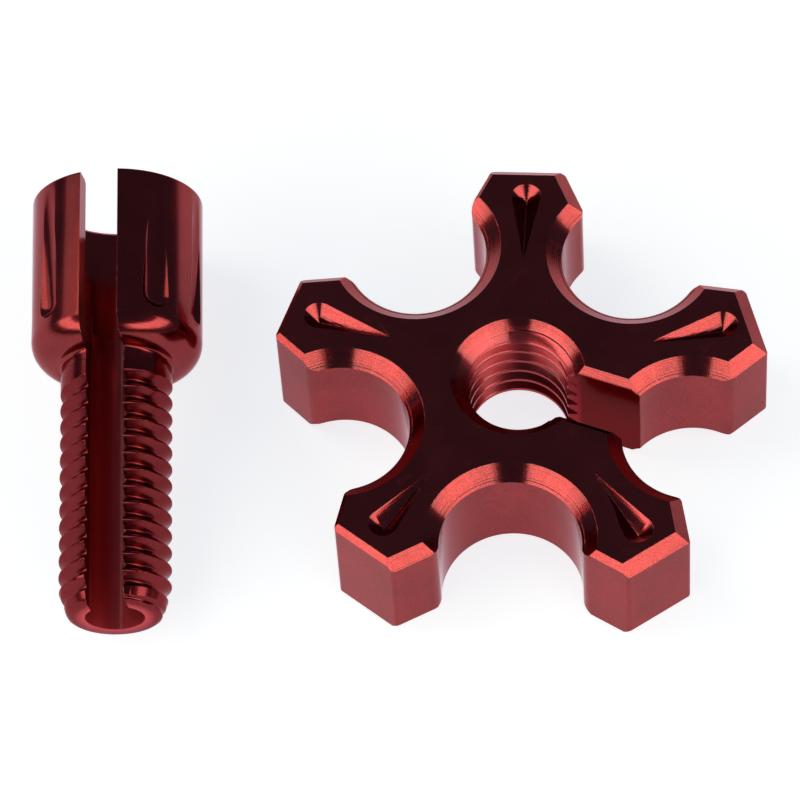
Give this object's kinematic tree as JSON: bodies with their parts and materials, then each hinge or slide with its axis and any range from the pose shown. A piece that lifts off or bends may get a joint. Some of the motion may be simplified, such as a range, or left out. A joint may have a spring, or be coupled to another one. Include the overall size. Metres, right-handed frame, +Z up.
{
  "type": "cable adjuster",
  "caption": "Slotted, threaded barrel screw with a fluted head and a star-shaped thumb lock nut, for setting the slack of a control cable at its lever.",
  "frame": {"origin": "under the middle of the box round both pieces, on the flat surface that they lie on", "axes": "+Z up along the lock nut's thread axis; +Y along the screw from its tip to its head, as seen from above; +X from the screw to the nut"},
  "size_m": [0.0508, 0.0328, 0.013],
  "materials": {
    "screw_anodised": "red anodised, turned, satin gloss",
    "nut_anodised": "red anodised, milled, satin gloss"
  },
  "bodies": {
    "screw": {"adjuster_screw": "screw_anodised"},
    "nut": {"star_lock_nut": "nut_anodised"}
  },
  "joints": [
    {"name": "nut_turn", "type": "hinge", "parent": "screw", "child": "nut", "pos_m": [0.00829, -0.00073, 0.0045], "axis": [0, 0, 1], "continuous": true}
  ]
}
